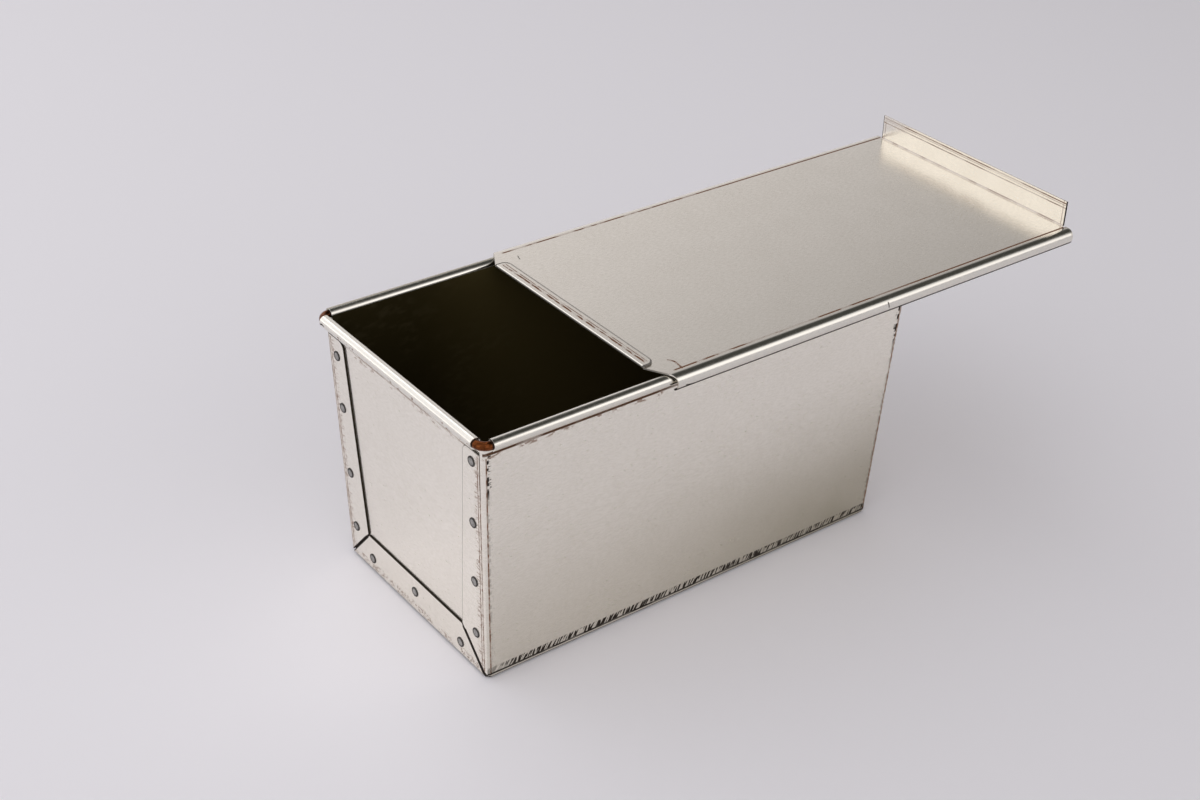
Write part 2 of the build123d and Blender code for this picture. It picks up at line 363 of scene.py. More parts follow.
class Blank:
    """An open sheet under the brake, in edit mode until it is finished."""

    def __init__(self, name, low, high, height):
        select()
        bpy.ops.mesh.primitive_plane_add(size=1, location=(0, 0, 0), enter_editmode=True)
        self.piece = bpy.context.object
        self.piece.name = self.piece.data.name = name
        size = (high[0] - low[0], high[1] - low[1], 1)
        middle = ((high[0] + low[0]) / 2, (high[1] + low[1]) / 2, height)
        bpy.ops.mesh.select_all(action="SELECT")
        bpy.ops.transform.resize(value=size, center_override=(0, 0, 0))
        bpy.ops.transform.translate(value=middle)

    def pick(self, kind, test):
        """Select the verts, edges or faces whose corners all pass the test."""
        bpy.ops.mesh.select_mode(type=kind[:-1].upper())
        bpy.ops.mesh.select_all(action="DESELECT")
        mesh = bmesh.from_edit_mesh(self.piece.data)
        count = 0
        for part in getattr(mesh, kind):
            corners = [part] if kind == "verts" else part.verts
            if not part.hide and all(test(*corner.co) for corner in corners):
                part.select_set(True)
                count += 1
        mesh.select_flush_mode()
        bmesh.update_edit_mesh(self.piece.data)
        if not count:
            raise RuntimeError(f"{self.piece.name}: no {kind} picked")

    def bend(self, centre, axis, angle, steps=BEND_STEPS):
        """Bend the picked edges round an axis, right-handed, and keep the new edge picked."""
        bpy.ops.mesh.spin(steps=steps, angle=-angle, center=centre, axis=axis)

    def bend_up(self, outward, lean, edge, top):
        """Bend the picked edge of the floor up into a leaning wall, and draw it to its top."""
        centre = outward * edge + UP * (pan().sheet + inner_radius())
        self.bend(centre, outward.cross(UP), pi / 2 - lean)
        draw((outward * tan(lean) + UP) * (top - bend_top(lean)))

    def roll_over(self, outward, lean, wire):
        """Draw the picked top edge up to the rim and roll it outward round the wire."""
        size = pan()
        rise = size.rim_height + size.roll_radius * sin(lean) - size.post_height
        draw((outward * tan(lean) + UP) * rise)
        centre, turn = outward * wire + UP * size.rim_height, pi - lean - size.roll_end
        self.bend(centre, UP.cross(outward), turn, ROLL_STEPS)

    def shift(self, test, move):
        """Move the vertices that pass the test."""
        self.pick("verts", test)
        bpy.ops.transform.translate(value=move)

    def cut(self, point, normal, remove=False):
        """Cut what is picked by a plane and, if asked, remove what its normal points to."""
        bpy.ops.mesh.bisect(plane_co=point, plane_no=normal, clear_outer=remove, threshold=NEAR)

    def cut_all(self, point, normal):
        bpy.ops.mesh.select_all(action="SELECT")
        self.cut(point, normal)

    def drop(self, test):
        """Delete the faces whose corners all pass the test."""
        self.pick("faces", test)
        bpy.ops.mesh.delete(type="FACE")

    def round_corner(self, test, radius):
        """Round the corners of the outline that pass the test."""
        self.pick("verts", test)
        bpy.ops.mesh.bevel(
            offset=radius, offset_type="OFFSET", affect="VERTICES", segments=CORNER_STEPS, profile=0.5
        )

    def finish(self, thickness, seen_from):
        """Give the sheet its thickness behind its modelled face, and its edges their bevel."""
        bpy.ops.mesh.reveal()
        bpy.ops.mesh.select_all(action="SELECT")
        bpy.ops.mesh.remove_doubles(threshold=NEAR)
        bpy.ops.mesh.select_mode(type="VERT")
        bpy.ops.mesh.select_all(action="SELECT")
        bpy.ops.mesh.normals_make_consistent(inside=False)
        mesh = bmesh.from_edit_mesh(self.piece.data)
        widest = max(mesh.faces, key=lambda face: face.calc_area())
        if widest.normal.dot(seen_from) < 0:
            bpy.ops.mesh.flip_normals()
        bpy.ops.object.mode_set(mode="OBJECT")
        apply(self.piece, "sheet", "SOLIDIFY", thickness=thickness, offset=-1, use_even_offset=True)
        apply(
            self.piece, "cut edge", "BEVEL",
            width=pan().cut_edge, segments=2, limit_method="ANGLE", angle_limit=BEVEL_FROM,
        )
        smooth(self.piece)
        return self.piece


class LOAFPAN_OT_trough(Operator):
    """Fold the trough from one sheet: floor, long walls, rolls and the six end flanges"""

    bl_idname = "loafpan.trough"
    bl_label = "Trough"

    def execute(self, context):
        half_x, half_y = floor_edges()
        blank = Blank("pan_trough", (-half_x, -half_y), (half_x, half_y), pan().sheet)
        for side in SIDES:
            self.long_wall(blank, side)
        for end in ENDS.values():
            for side in SIDES:
                self.side_flange(blank, end, side)
        for end in ENDS.values():
            self.floor_flange(blank, end)
        piece = blank.finish(pan().sheet, UP)
        coat(piece, trough_finish())
        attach(piece, "pan")
        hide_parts("trough")
        return {"FINISHED"}

    def long_wall(self, blank, side):
        """Bend up a long wall and roll its top outward."""
        size, half_y = pan(), floor_edges()[1]
        top, foot_z = size.post_height, bend_top(side_lean())
        roll_x = wire_x() - size.corner_radius
        blank.pick("edges", lambda x, y, z: same(y, side * half_y) and same(z, size.sheet))
        blank.bend_up(side * ACROSS, side_lean(), half_y, top)
        for end in ENDS.values():
            blank.shift(
                lambda x, y, z: same(z, top) and x * end > 0 and y * side > 0,
                end * ALONG * (top - foot_z) * end_slope(),
            )
        for end in ENDS.values():
            blank.pick("faces", lambda x, y, z: z > foot_z - NEAR and y * side > 0)
            blank.cut(end * ALONG * roll_x, ALONG)
        blank.pick("edges", lambda x, y, z: same(z, top) and abs(x) < roll_x + NEAR and y * side > 0)
        blank.roll_over(side * ACROSS, side_lean(), wire_y())

    def side_flange(self, blank, end, side):
        """Bend a long wall's end round the corner into its flange, and cut it to shape."""
        size, half_x, foot_z = pan(), floor_edges()[0], bend_top(side_lean())
        (foot_y, flange_foot), (head_y, head_z) = flange_edge()

        def past_end(x, y, z):
            """How far past the wall's end a place lies, or none if it isn't on this wall."""
            if y * side > 0 and z < size.post_height + NEAR:
                return x * end - half_x - (z - foot_z) * end_slope()

        def on_end(x, y, z):
            past = past_end(x, y, z)
            return past is not None and same(past, 0, LOOSE) and z > foot_z - NEAR

        def beyond(x, y, z):
            past = past_end(x, y, z)
            return past is not None and past > -NEAR

        blank.pick("edges", on_end)
        side_out = square_out(side * ACROSS, side_lean())
        end_out = square_out(end * ALONG, end_lean())
        depth = size.bend_radius
        centre = (end * length_at(foot_z, depth), side * width_at(foot_z, depth), foot_z)
        blank.bend(centre, side_out.cross(end_out).normalized(), side_out.angle(end_out))
        draw(-side * ACROSS * size.flange_top_width)

        slope = (head_y - foot_y) / (head_z - flange_foot)
        mesh = bmesh.from_edit_mesh(blank.piece.data)
        for corner in mesh.verts:
            if corner.select:
                corner.co.y = side * (foot_y + (corner.co.z - flange_foot) * slope)
        bmesh.update_edit_mesh(blank.piece.data)

        start, square = self.mitre(end, side)
        blank.pick("faces", beyond)
        blank.cut(start + square * size.mitre_gap / 2, -square, remove=True)
        blank.pick(
            "faces",
            lambda x, y, z: beyond(x, y, z) and same(abs(x), length_at(z, size.sheet), 2 * NEAR),
        )
        blank.cut(UP * head_z, UP, remove=True)
        blank.round_corner(
            lambda x, y, z: same(z, head_z) and same(y * side, head_y, LOOSE) and x * end > 0,
            size.flange_round,
        )
        blank.pick("faces", beyond)
        bpy.ops.mesh.hide(unselected=False)

    def mitre(self, end, side):
        """A point on the mitre's line and the direction square to it, towards the side flange."""
        foot_y, foot_z = flange_edge()[0]
        start = Vector((end * length_at(foot_z), side * foot_y, foot_z))
        corner = Vector((end * length_at(0), side * width_at(0), 0))
        square = (corner - start).cross(square_out(end * ALONG, end_lean())).normalized()
        return start, square if square.z > 0 else -square

    def floor_flange(self, blank, end):
        """Bend up the floor's end into its flange between the mitres."""
        size, (half_x, half_y) = pan(), floor_edges()
        blank.pick("edges", lambda x, y, z: same(x, end * half_x) and same(z, size.sheet))
        blank.bend_up(end * ALONG, end_lean(), half_x, size.floor_flange)
        for side in SIDES:
            start, square = self.mitre(end, side)
            blank.pick("faces", lambda x, y, z: x * end > half_x - NEAR and abs(y) < half_y + LOOSE)
            blank.cut(start - square * size.mitre_gap / 2, square, remove=True)


class LOAFPAN_OT_end_plates(Operator):
    """Raise the two end plates and roll their tops outward round the wire"""

    bl_idname = "loafpan.end_plates"
    bl_label = "End plates"

    def execute(self, context):
        size, finish = pan(), plate_finish()
        foot, top = size.plate_edge, size.post_height
        inside, half = length_at(foot, plate_inset()), width_at(foot, size.plate_edge)
        wider = width_at(top, size.plate_edge) - half
        roll_y = wire_y() - size.corner_radius
        for name, end in ENDS.items():
            strip = sorted((end * inside, end * (inside - size.sheet)))
            blank = Blank(f"pan_{name}_end_plate", (strip[0], -half), (strip[1], half), foot)
            blank.pick("edges", lambda x, y, z: same(x, end * inside))
            draw((end * ALONG * end_slope() + UP) * (top - foot))
            blank.drop(lambda x, y, z: same(z, foot))
            for side in SIDES:
                blank.shift(lambda x, y, z: z > foot + NEAR and y * side > 0, side * ACROSS * wider)
            for side in SIDES:
                blank.cut_all(side * ACROSS * roll_y, ACROSS)
            blank.pick("edges", lambda x, y, z: same(z, top) and abs(y) < roll_y + NEAR)
            blank.roll_over(end * ALONG, end_lean(), wire_x())
            piece = blank.finish(size.sheet, -end * ALONG)
            coat(piece, finish)
            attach(piece, "pan")
            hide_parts(f"{name}_end_plate")
        return {"FINISHED"}


class LOAFPAN_OT_rim_wire(Operator):
    """Bend the rim wire into its ring"""

    bl_idname = "loafpan.rim_wire"
    bl_label = "Rim wire"

    def execute(self, context):
        size, rim = pan(), pan().rim_height
        select()
        bpy.ops.mesh.primitive_circle_add(
            vertices=ROUND_SIDES,
            radius=context.scene.loaf_fasteners.wire / 2,
            location=(0, -wire_y(), rim),
            rotation=(0, pi / 2, 0),
        )
        piece = context.object
        piece.name = piece.data.name = "pan_rim_wire"
        bpy.ops.object.transform_apply(location=True, rotation=True, scale=True)
        bpy.ops.object.mode_set(mode="EDIT")
        bpy.ops.mesh.select_all(action="SELECT")
        half_x, half_y = wire_x() - size.corner_radius, wire_y() - size.corner_radius
        runs = (ALONG * half_x, ACROSS * 2 * half_y, -ALONG * 2 * half_x, -ACROSS * 2 * half_y)
        centres = ((half_x, -half_y), (half_x, half_y), (-half_x, half_y), (-half_x, -half_y))
        for run, centre in zip(runs, centres):
            draw(run)
            bpy.ops.mesh.spin(steps=WIRE_TURN_STEPS, angle=-pi / 2, center=(*centre, rim), axis=UP)
        draw(ALONG * half_x)
        bpy.ops.mesh.select_all(action="SELECT")
        bpy.ops.mesh.remove_doubles(threshold=NEAR)
        bpy.ops.mesh.normals_make_consistent(inside=False)
        bpy.ops.object.mode_set(mode="OBJECT")
        smooth(piece)
        coat(piece, wire_finish())
        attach(piece, "pan")
        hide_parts("rim_wire")
        return {"FINISHED"}


def rivet_places(node):
    """The middle of each rivet of a group, read from the part's own solids."""
    mesh = bmesh.new()
    mesh.from_mesh(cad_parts[node].data)
    bmesh.ops.remove_doubles(mesh, verts=mesh.verts, dist=NEAR)
    left, places = set(mesh.verts), []
    while left:
        todo, seen = [left.pop()], []
        while todo:
            corner = todo.pop()
            seen.append(corner.co.copy())
            for edge in corner.link_edges:
                other = edge.other_vert(corner)
                if other in left:
                    left.remove(other)
                    todo.append(other)
        low, high = (Vector(end(axis) for axis in zip(*seen)) for end in (min, max))
        places.append((low + high) / 2)
    mesh.free()
    return places


class LOAFPAN_OT_rivets(Operator):
    """Turn one rivet and set a copy of it in each hole"""

    bl_idname = "loafpan.rivets"
    bl_label = "Rivets"

    def execute(self, context):
        materials = rivet_finish(), rivet_rim_finish()
        for name, end in ENDS.items():
            for group in ("front", "back", "floor"):
                node = f"{name}_{group}_rivets"
                copies = [self.rivet(place, end, materials) for place in rivet_places(node)]
                select(*copies)
                bpy.ops.object.join()
                piece = context.object
                piece.name = piece.data.name = f"pan_{node}"
                smooth(piece)
                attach(piece, "pan")
                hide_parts(node)
        return {"FINISHED"}

    def disc(self, diameter, height, materials):
        """A round face at a height on the rivet's axis, left in edit mode."""
        select()
        bpy.ops.mesh.primitive_circle_add(
            vertices=ROUND_SIDES, radius=diameter / 2, fill_type="NGON", location=(0, 0, 0)
        )
        piece = bpy.context.object
        coat(piece, *materials)
        bpy.ops.object.mode_set(mode="EDIT")
        bpy.ops.mesh.select_mode(type="FACE")
        bpy.ops.mesh.select_all(action="SELECT")
        bpy.ops.transform.translate(value=(0, 0, height))
        return piece

    def rivet(self, place, end, materials):
        """One rivet, its head out of the end wall and its tail inside."""
        parts = bpy.context.scene.loaf_fasteners
        half = (parts.head_height + plate_inset() + parts.tail_height) / 2
        head = self.disc(parts.head, half - parts.head_height, materials)
        draw(UP * (parts.head_height - parts.head_edge))
        bpy.ops.mesh.inset(thickness=parts.head_edge, depth=parts.head_edge)
        bpy.ops.mesh.inset(thickness=parts.head / HEAD_TO_RING, depth=0)
        dish = parts.head_edge / EDGE_TO_DISH
        bpy.ops.mesh.inset(thickness=parts.head / HEAD_TO_SLOPE, depth=-dish)
        bpy.ops.object.mode_set(mode="OBJECT")
        for face in head.data.polygons:
            face.material_index = int(face.center.xy.length > NEAR)
        tail = self.disc(parts.tail, parts.tail_height - half, materials)
        bpy.ops.mesh.flip_normals()
        draw(-UP * parts.tail_height / 2)
        step = parts.tail_height / 2 / DOME_STEPS
        for count in range(1, DOME_STEPS + 1):
            bpy.ops.mesh.inset(thickness=step * count, depth=step)
        bpy.ops.object.mode_set(mode="OBJECT")
        select(head, tail)
        bpy.ops.object.join()
        turn = square_out(end * ALONG, end_lean()).to_track_quat("Z", "Y").to_matrix().to_4x4()
        head.matrix_world = Matrix.Translation(place) @ turn
        bpy.ops.object.transform_apply(location=True, rotation=True, scale=True)
        return head


class LOAFPAN_OT_lid(Operator):
    """Fold the lid: side rolls, hemmed tongue and finger flange"""

    bl_idname = "loafpan.lid"
    bl_label = "Lid"

    def execute(self, context):
        size = lid()
        near, far, top, roll_y = lid_lines()
        outer, nose = size.finger_bend + size.sheet, size.sheet + size.hem_gap / 2
        tongue, finger = size.tongue_width / 2, size.finger_width / 2
        blank = Blank("lid_sheet", (near, -roll_y), (far, roll_y), top)
        for line in (near + nose, far - outer):
            blank.cut_all(ALONG * line, ALONG)
        for side in SIDES:
            for line in (tongue, finger, finger + size.relief):
                blank.cut_all(side * ACROSS * line, ACROSS)
        blank.drop(lambda x, y, z: x < near + nose + NEAR and abs(y) < tongue + NEAR)
        blank.drop(lambda x, y, z: x > far - outer - NEAR and abs(y) < finger + size.relief + NEAR)
        for side in SIDES:
            self.side_roll(blank, side)
        self.near_corners(blank, tongue)
        self.hem(blank, tongue, near + nose)
        self.finger(blank, finger, far - outer)
        piece = blank.finish(size.sheet, UP)
        coat(piece, lid_finish())
        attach(piece, "lid")
        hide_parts("lid")
        return {"FINISHED"}

    def side_roll(self, blank, side):
        """Turn a long edge down and under in its hooked roll."""
        size, (top, roll_y) = lid(), lid_lines()[2:]
        shoulder = top - size.roll_radius
        blank.pick("edges", lambda x, y, z: same(y, side * roll_y) and same(z, top))
        blank.bend((0, side * roll_y, shoulder), ALONG, -side * pi / 2, SHOULDER_STEPS)
        draw(-UP * size.roll_drop)
        foot = (0, side * roll_y, shoulder - size.roll_drop)
        blank.bend(foot, ALONG, -side * size.hook, HOOK_STEPS)

    def near_corners(self, blank, tongue):
        """Cut the near corners back: a slant past the tongue and a lean on the rolls."""
        size, (near, _, top, roll_y) = lid(), lid_lines()
        width, under = roll_y + size.roll_radius - tongue, top - size.sheet
        drop = 2 * size.roll_radius + size.roll_drop - size.sheet
        lean = Vector((-drop, 0, -size.roll_slant)).normalized()
        for side in SIDES:
            slant = Vector((-width, side * size.tongue_length, 0)).normalized()
            blank.pick("faces", lambda x, y, z: y * side > tongue - NEAR)
            blank.cut((near, side * tongue, 0), slant, remove=True)
            blank.pick("faces", lambda x, y, z: y * side > roll_y - NEAR)
            blank.cut((near + size.tongue_length - size.roll_slant, 0, under), lean, remove=True)

    def hem(self, blank, tongue, line):
        """Fold the tongue's edge back over itself."""
        size, (near, _, top, _) = lid(), lid_lines()
        middle, free = top + size.hem_gap / 2, near + size.hem
        blank.pick("edges", lambda x, y, z: same(x, line) and abs(y) < tongue + NEAR and same(z, top))
        blank.bend((line, 0, middle), ACROSS, pi, FOLD_STEPS)
        draw(ALONG * (free - line))
        blank.round_corner(
            lambda x, y, z: same(x, free) and same(abs(y), tongue) and z > middle, size.hem_round
        )

    def finger(self, blank, half, line):
        """Bend up the finger flange."""
        size, top = lid(), lid_lines()[2]
        blank.pick("edges", lambda x, y, z: same(x, line) and abs(y) < half + NEAR and same(z, top))
        blank.bend((line, 0, top + size.finger_bend), ACROSS, -pi / 2)
        draw(UP * (size.finger_height - size.finger_bend))


class Field:
    """What changes over a surface: the output of a node, reckoned with like a number."""

    def __init__(self, nodes, socket):
        self.nodes, self.socket = nodes, socket

    def math(self, operation, *others):
        return self.nodes.math(operation, self, *others)

    def __add__(self, other):
        return self.math("ADD", other)

    def __sub__(self, other):
        return self.math("SUBTRACT", other)

    def __rsub__(self, other):
        return self.nodes.math("SUBTRACT", other, self)

    def __mul__(self, other):
        return self.math("MULTIPLY", other)

    def __abs__(self):
        return self.math("ABSOLUTE")

    def ramp(self, slope, start):
        """The field times a slope, added to a start."""
        return self.math("MULTIPLY_ADD", slope, start)

    def rise(self, low, high):
        """0 up to low, then smoothly up to 1 at high."""
        values = {"Value": self, "From Min": low, "From Max": high}
        return self.nodes.add("ShaderNodeMapRange", values, interpolation_type="SMOOTHSTEP")

    def above(self, edge, soft):
        """0 below an edge and 1 above it, over twice the softness."""
        return self.rise(edge - soft, edge + soft)

    def below(self, edge, soft):
        return 1.0 - self.above(edge, soft)

    def band(self, low, high, soft):
        """1 between two edges."""
        return self.above(low, soft) * self.below(high, soft)

    def fade(self, first, second):
        """From a number where the field is 0 to another where it is 1."""
        return self.nodes.add("ShaderNodeMix", {0: self, 2: first, 3: second}, data_type="FLOAT")


def most(first, *others):
    """The greatest of fields: what any of them masks."""
    for other in others:
        first = first.math("MAXIMUM", other)
    return first


def least(first, *others):
    """The least of fields: what all of them reach."""
    for other in others:
        first = first.math("MINIMUM", other)
    return first


def depth_in(radius, *insets):
    """Depth inside a rounded outline, from the depths inside its straight sides."""
    squares = 0.0
    for inset in insets:
        short = (radius - inset).math("MAXIMUM", 0.0)
        squares = short.ramp(short, squares)
    return radius - squares.math("SQRT")


class Nodes:
    """A node tree that is wired up field by field."""

    def __init__(self, tree):
        self.tree = tree

    def feed(self, node, values):
        """Link each field to its socket, and set each plain value on its socket."""
        for socket, value in values.items():
            if isinstance(value, Field):
                self.tree.links.new(value.socket, node.inputs[socket])
            else:
                node.inputs[socket].default_value = value

    def add(self, kind, values, output=0, **settings):
        """Add a node, set it, feed it and give back one of its outputs."""
        node = self.tree.nodes.new(kind)
        for name, value in settings.items():
            setattr(node, name, value)
        self.feed(node, values)
        return Field(self, node.outputs[output])

    def math(self, operation, *values):
        return self.add("ShaderNodeMath", dict(enumerate(values)), operation=operation)

    def blend(self, first, second, share_of_second):
        """A colour between two others, each a field or a plain colour."""
        first, second = (tone if isinstance(tone, Field) else (*tone, 1) for tone in (first, second))
        return self.add("ShaderNodeMix", {0: share_of_second, 6: first, 7: second}, 2, data_type="RGBA")


class Finish(Nodes):
    """A procedural finish, mixed from fields over the surface, all in millimetres."""

    def __init__(self, name):
        self.material = bpy.data.materials.new(name)
        self.material.use_nodes = True
        super().__init__(self.material.node_tree)
        metres = self.add("ShaderNodeTexCoord", {}, "Object")
        values = {0: metres, "Scale": 1 / MM}
        self.place = self.add("ShaderNodeVectorMath", values, operation="SCALE")
        split = self.add("ShaderNodeSeparateXYZ", {0: self.place}).socket.node
        self.x, self.y, self.z = (Field(self, output) for output in split.outputs)

    def shade(self, values):
        """Feed the surface's own sockets."""
        self.feed(self.tree.nodes["Principled BSDF"], values)
        return self.material

    def leaning(self, lean):
        """The place with its X moved against the height, so that upright lumps lean to +X."""
        values = {0: self.z.ramp(-lean, self.x), 1: self.y, 2: self.z}
        return self.add("ShaderNodeCombineXYZ", values)

    def noise(self, size, detail=2.0, stretch=(1, 1, 1), shift=0.0, rough=0.5, place=None):
        """Noise whose lumps are about a size across, longer where the stretch is over 1."""
        scale = [1 / (size * long) for long in stretch]
        offset = (shift, shift * 1.7, shift * 0.6)
        values = {0: place or self.place, 1: scale, 2: offset}
        moved = self.add("ShaderNodeVectorMath", values, operation="MULTIPLY_ADD")
        values = {"Vector": moved, "Scale": 1, "Detail": detail, "Roughness": rough}
        return self.add("ShaderNodeTexNoise", values, "Fac")

    def spots(self, size, level, soft=0.03, **shape):
        """1 where the noise is over a level, so a higher level leaves fewer spots."""
        return self.noise(size, **shape).above(level, soft)

    def stroke(self, across, along, points, width):
        """1 along a scratch through points, each given by the values of two fields there."""
        gaps = []
        for start, stop in zip(points, points[1:]):
            run = Vector(stop) - Vector(start)
            share_x, share_y = run / run.length_squared
            dx, dy = across - start[0], along - start[1]
            part = dx.ramp(share_x, dy * share_y).math("MAXIMUM", 0.0).math("MINIMUM", 1.0)
            off_x, off_y = part.ramp(-run.x, dx), part.ramp(-run.y, dy)
            gaps.append((off_x * off_x + off_y * off_y).math("SQRT"))
        return least(*gaps).below(width / 2, width / 4)

    def steel(self, stain, mark, worked, inside=None, film=None, grain=(3.5, 3.5, 1), shift=0.0):
        """The coated sheet under its film, stains, dark marks and painted shade, drawn rolls and inside
        coating.
        """
        looks = bpy.context.scene.loaf_finishes
        cloud = self.noise(14, detail=3, shift=shift)
        wave = self.noise(24, detail=0, shift=shift + 3)
        streak = self.noise(0.6, detail=2, stretch=grain, shift=shift + 5) - 0.5
        tone = streak.ramp(2.2, cloud.ramp(0.5, 0.25))
        base = self.blend(looks.steel, looks.drawn, worked)
        base = self.blend(base, looks.steel_dull, tone.above(0.5, 0.45) * worked.fade(1.0, 0.6))
        if film:
            base = self.blend(base, looks.dull, film)
        base = self.blend(base, looks.stain, stain)
        # Dark marks and painted shade go on here, and the same mask makes them rough and less metallic.
        base = self.blend(base, looks.mark, mark)
        dirt_and_shade = most(stain * 0.75, mark)
        rough = (tone - 0.5).ramp(0.08, worked.fade(looks.roughness, looks.worked_roughness))
        rough = dirt_and_shade.fade(rough, looks.dirt_roughness)
        metallic = dirt_and_shade.ramp(-0.9, 1.0)
        if inside:
            # Painted light: the coating grows lighter towards the far end, under the lid.
            coating = self.blend(looks.inside, looks.inside_far, self.x.above(-10, 60))
            rubbed = self.spots(2.6, 0.54, 0.12, detail=4, stretch=(2, 2, 1)) * self.spots(20, 0.5, 0.12)
            coating = self.blend(coating, looks.inside_rubbed, rubbed * 0.1)
            base = self.blend(base, coating, inside)
            rough = inside.fade(rough, looks.inside_roughness)
            metallic = metallic * (1.0 - inside)
        height = dirt_and_shade.ramp(-0.8, wave.ramp(3.5, streak * 0.02))
        bump = {"Strength": 1, "Distance": 0.01 * MM, "Height": height}
        return self.shade({
            "Base Color": base,
            "Roughness": rough,
            "Metallic": metallic,
            "Specular IOR Level": 0.1,
            "Normal": self.add("ShaderNodeBump", bump, "Normal"),
        })


def wall_fields(finish):
    """How far a point lies in from the outer faces of the long walls and of the end walls."""
    half_width, half_length = pan().bottom_width / 2 / MM, pan().bottom_length / 2 / MM
    from_side = finish.z.ramp(side_slope(), half_width) - abs(finish.y)
    from_end = finish.z.ramp(end_slope(), half_length) - abs(finish.x)
    return from_side, from_end


def flange_field(finish):
    """How far a point of an end lies inside the flanges' outline; under 0 between them."""
    (foot_y, foot_z), (head_y, head_z) = (
        (across / MM, height / MM) for across, height in flange_edge()
    )
    half_gap, wide = pan().mitre_gap / 2 / MM, abs(finish.y)
    lean = (head_y - foot_y) / (head_z - foot_z)
    free_edge = wide - finish.z.ramp(lean, foot_y - foot_z * lean)
    side = depth_in(pan().flange_round / MM, free_edge, head_z - finish.z)
    square = Vector((foot_z, width_at(0) / MM - foot_y)).normalized()
    past = wide.ramp(square.x, -foot_y * square.x - foot_z * square.y)
    past = finish.z.ramp(square.y, past)
    return most(least(side, past - half_gap), least(foot_z - finish.z, -half_gap - past))


